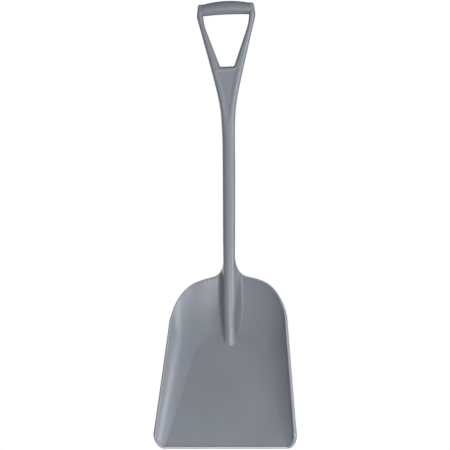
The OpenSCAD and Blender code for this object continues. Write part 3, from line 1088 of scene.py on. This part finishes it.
    def make(self) -> None:
        """Build both faces of both halves as one closed mesh."""
        skin = Sheet()
        for rows in (self.yoke_rows(), self.crotch_rows(), self.arm_rows()):
            for side in (1, -1):
                for face in (1, -1):
                    skin.add([[self.line.at(side * x, face * self.half_depth(x, l), l) for x, l in row]
                              for row in rows])
        foot = [(x, self.half_depth(x, self.l_foot)) for x in self.spread(self.l_foot)]
        ring = foot + [(x, -y) for x, y in reversed(foot[:-1])]
        ring += [(-x, -y) for x, y in foot[1:]] + [(-x, y) for x, y in reversed(foot[1:-1])]
        skin.cap([self.line.at(x, y, self.l_foot) for x, y in ring])
        obj = closed_mesh("yoke_and_arms", skin.points, skin.faces, self.finish, 55.0)
        hand_over(obj, ["yoke", "grip_arm_left", "grip_arm_right"])


@dataclass
class GripBar:
    """The crowned bar between the arms, in a darker plastic that is painted shade."""

    line: HandleLine
    half: float = 60.5
    axis_l: float = 682.8
    bow: float = 4.5
    r_end: float = 15.2
    r_mid: float = 17.5
    d_end: float = 14.2
    d_mid: float = 16.0
    root: float = 9.0
    # painted shade: the darker plastic of the grip bar
    finish: MouldedPlastic = GRIP_SHADED_FINISH

    def ring(self, x: float) -> list[Point]:
        """Section of the bar at a place across."""
        q = 1 - min(abs(x) / self.half, 1.0) ** 2
        axis = self.axis_l + self.bow * q
        tall, deep = mix(self.r_end, self.r_mid, q), mix(self.d_end, self.d_mid, q)
        sink = 1 - 0.09 * (max(abs(x) - self.half, 0.0) / self.root) ** 2
        return [self.line.at(x, deep * sink * math.cos(a), axis + tall * sink * math.sin(a))
                for a in circle_angles(72)]

    def make(self) -> None:
        """Loft the bar from arm to arm."""
        reach = self.half + self.root
        rings = [self.ring(mix(reach, -reach, t)) for t in cosine_steps(70)]
        skin = Sheet()
        skin.tube(rings)
        hand_over(closed_mesh("grip_bar", skin.points, skin.faces, self.finish), ["grip_bar"])


@dataclass
class PartingLine:
    """The hair-fine raised line where the mould halves met, down each side of the handle."""

    line: HandleLine
    grip: GripFrame
    shaft: Shaft
    size: float = 0.35
    l_low: float = 50.0
    l_high: float = 684.0
    steps: int = 149
    finish: MouldedPlastic = HANDLE_FINISH

    def make(self) -> None:
        """Sweep the line along both sides."""
        s = self.size
        corners = ((-s, -s), (s, -s), (s, s), (-s, s))
        for side, name in ((1, "right"), (-1, "left")):
            path = []
            for t in even_steps(self.steps):
                l = mix(self.l_low, self.l_high, t)
                w = self.shaft.radius(l) if l < self.shaft.l_top else self.grip.outside(l)
                path.append(tuple(c / MM for c in self.line.at(side * w, 0, l)))
            widths = [mix(0.02, 1, ease(min(i, self.steps - i) / 8)) for i in range(self.steps + 1)]
            sweep = SweepTree(f"parting_line_{name}", corners, s * 0.6)
            hand_over(sweep.run(path, widths, Matrix.Scale(MM, 4), self.finish), [])


# ------ studio


@dataclass(frozen=True)
class SoftBox:
    """One rectangular studio light.

    Args:
        name: light name.
        place: where it stands, metres.
        aim: what it points at, metres.
        size: width and height, metres.
        power: watts.
        colour: light colour.
    """

    name: str
    place: Point
    aim: Point
    size: Pair
    power: float
    colour: Point = (1.0, 1.0, 1.0)

    def make(self) -> None:
        """Add the light to the scene."""
        light = bpy.data.lights.new(self.name, "AREA")
        light.shape = "RECTANGLE"
        light.size, light.size_y = self.size
        light.energy = self.power
        light.color = self.colour
        obj = place_object(self.name, light)
        obj.location = self.place
        obj.rotation_euler = (Vector(self.aim) - Vector(self.place)).to_track_quat("-Z", "Y").to_euler()


@dataclass
class Studio:
    """White room, pale floor, soft boxes and the camera."""

    azimuth: float = 7.0
    elevation: float = -11.0
    distance: float = 2.884
    target: Point = (-0.0067, 0.0286, -0.5548)
    lens: float = 90.65
    roll: float = -0.04
    floor_drop: float = 1.0
    ambient: float = 0.52
    behind: float = 0.10
    boxes: tuple[SoftBox, ...] = ()

    def make_camera(self) -> None:
        """Stand the camera round the target by azimuth and elevation."""
        a, e = math.radians(self.azimuth), math.radians(self.elevation)
        back = Vector((math.sin(a) * math.cos(e), -math.cos(a) * math.cos(e), math.sin(e)))
        data = bpy.data.cameras.new("camera")
        data.lens, data.sensor_width = self.lens, 36.0
        data.clip_start, data.clip_end = 0.05, 60.0
        cam = place_object("camera", data)
        cam.location = Vector(self.target) + back * self.distance
        level = (-back).to_track_quat("-Z", "Y")
        cam.rotation_euler = (level @ Quaternion((0, 0, 1), math.radians(self.roll))).to_euler()
        bpy.context.scene.camera = cam

    def make_floor(self, low: float) -> None:
        """Lay a plain pale floor below the hanging shovel."""
        z, r = low - self.floor_drop, 4.0
        mesh = bpy.data.meshes.new("studio_floor")
        mesh.from_pydata([(-r, -r, z), (r, -r, z), (r, r, z), (-r, r, z)], [], [(0, 1, 2, 3)])
        mat = bpy.data.materials.new("studio_floor")
        mat.use_nodes = True
        preset(mat.node_tree.nodes["Principled BSDF"], Base_Color=(0.8, 0.8, 0.8, 1), Roughness=0.9)
        mesh.materials.append(mat)
        place_object("studio_floor", mesh)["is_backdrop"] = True

    def make_room(self) -> None:
        """White behind the shovel, dimmer as a source of light."""
        world = bpy.data.worlds.new("room")
        bpy.context.scene.world = world
        world.use_nodes = True
        nodes, link = world.node_tree.nodes, world.node_tree.links.new
        nodes.clear()
        seen = preset(nodes.new("ShaderNodeBackground"), Color=(1, 1, 1, 1), Strength=1.0)
        lit = preset(nodes.new("ShaderNodeBackground"), Color=(0.95, 0.97, 1.0, 1))
        where = nodes.new("ShaderNodeSeparateXYZ")
        link(nodes.new("ShaderNodeTexCoord").outputs["Generated"], where.inputs["Vector"])
        fade = preset(nodes.new("ShaderNodeMapRange"), From_Min=-0.75, From_Max=0.35,
                      To_Min=self.ambient, To_Max=self.behind)
        fade.interpolation_type = "SMOOTHSTEP"
        link(where.outputs["Y"], fade.inputs["Value"])
        link(fade.outputs["Result"], lit.inputs["Strength"])
        ray = nodes.new("ShaderNodeLightPath")
        pick = nodes.new("ShaderNodeMixShader")
        out = nodes.new("ShaderNodeOutputWorld")
        link(ray.outputs["Is Camera Ray"], pick.inputs[0])
        link(lit.outputs[0], pick.inputs[1])
        link(seen.outputs[0], pick.inputs[2])
        link(pick.outputs[0], out.inputs["Surface"])

    def make(self, low: float) -> None:
        """Build the studio; low is the height of the shovel's lowest point, metres."""
        bpy.context.scene.view_settings.view_transform = "Standard"
        self.make_camera()
        self.make_floor(low)
        self.make_room()
        for light in self.boxes:
            light.make()


STUDIO_BOXES = (
    SoftBox("strip_right", (2.8, -0.35, -0.85), (0.0, 0.0, -0.6), (0.4, 2.1), 46.0, (0.94, 0.98, 1.0)),
    SoftBox("key_right", (2.2, -1.7, -1.4), (0.0, 0.0, -0.8), (0.9, 1.2), 18.0, (0.95, 0.98, 1.0)),
    SoftBox("front_level", (0.7, -3.5, -1.1), (0.0, 0.0, -0.8), (1.3, 0.7), 25.0, (0.94, 1.0, 0.98)),
    SoftBox("front_low", (0.5, -2.2, -1.8), (0.0, 0.0, -1.05), (1.0, 0.5), 26.0),
    SoftBox("back_fill", (-2.0, 3.0, -0.3), (0.0, 0.0, -0.7), (2.0, 2.0), 24.0),
)


def main() -> None:
    logging.basicConfig(level=logging.INFO, format="%(name)s: %(message)s")
    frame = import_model()
    cad_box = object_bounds()
    LOG.info("frame nodes: %d", len(frame["nodes"]))
    line = HandleLine()
    pan = Pan(PanFrame(line))
    pan.make()
    RimEdge(pan).make()
    shaft = Shaft(pan, line)
    shaft.make()
    grip = GripFrame(line)
    grip.make()
    GripBar(line).make()
    PartingLine(line, grip, shaft).make()
    Studio(boxes=STUDIO_BOXES).make(cad_box[0].z)


if __name__ == "__main__":
    main()
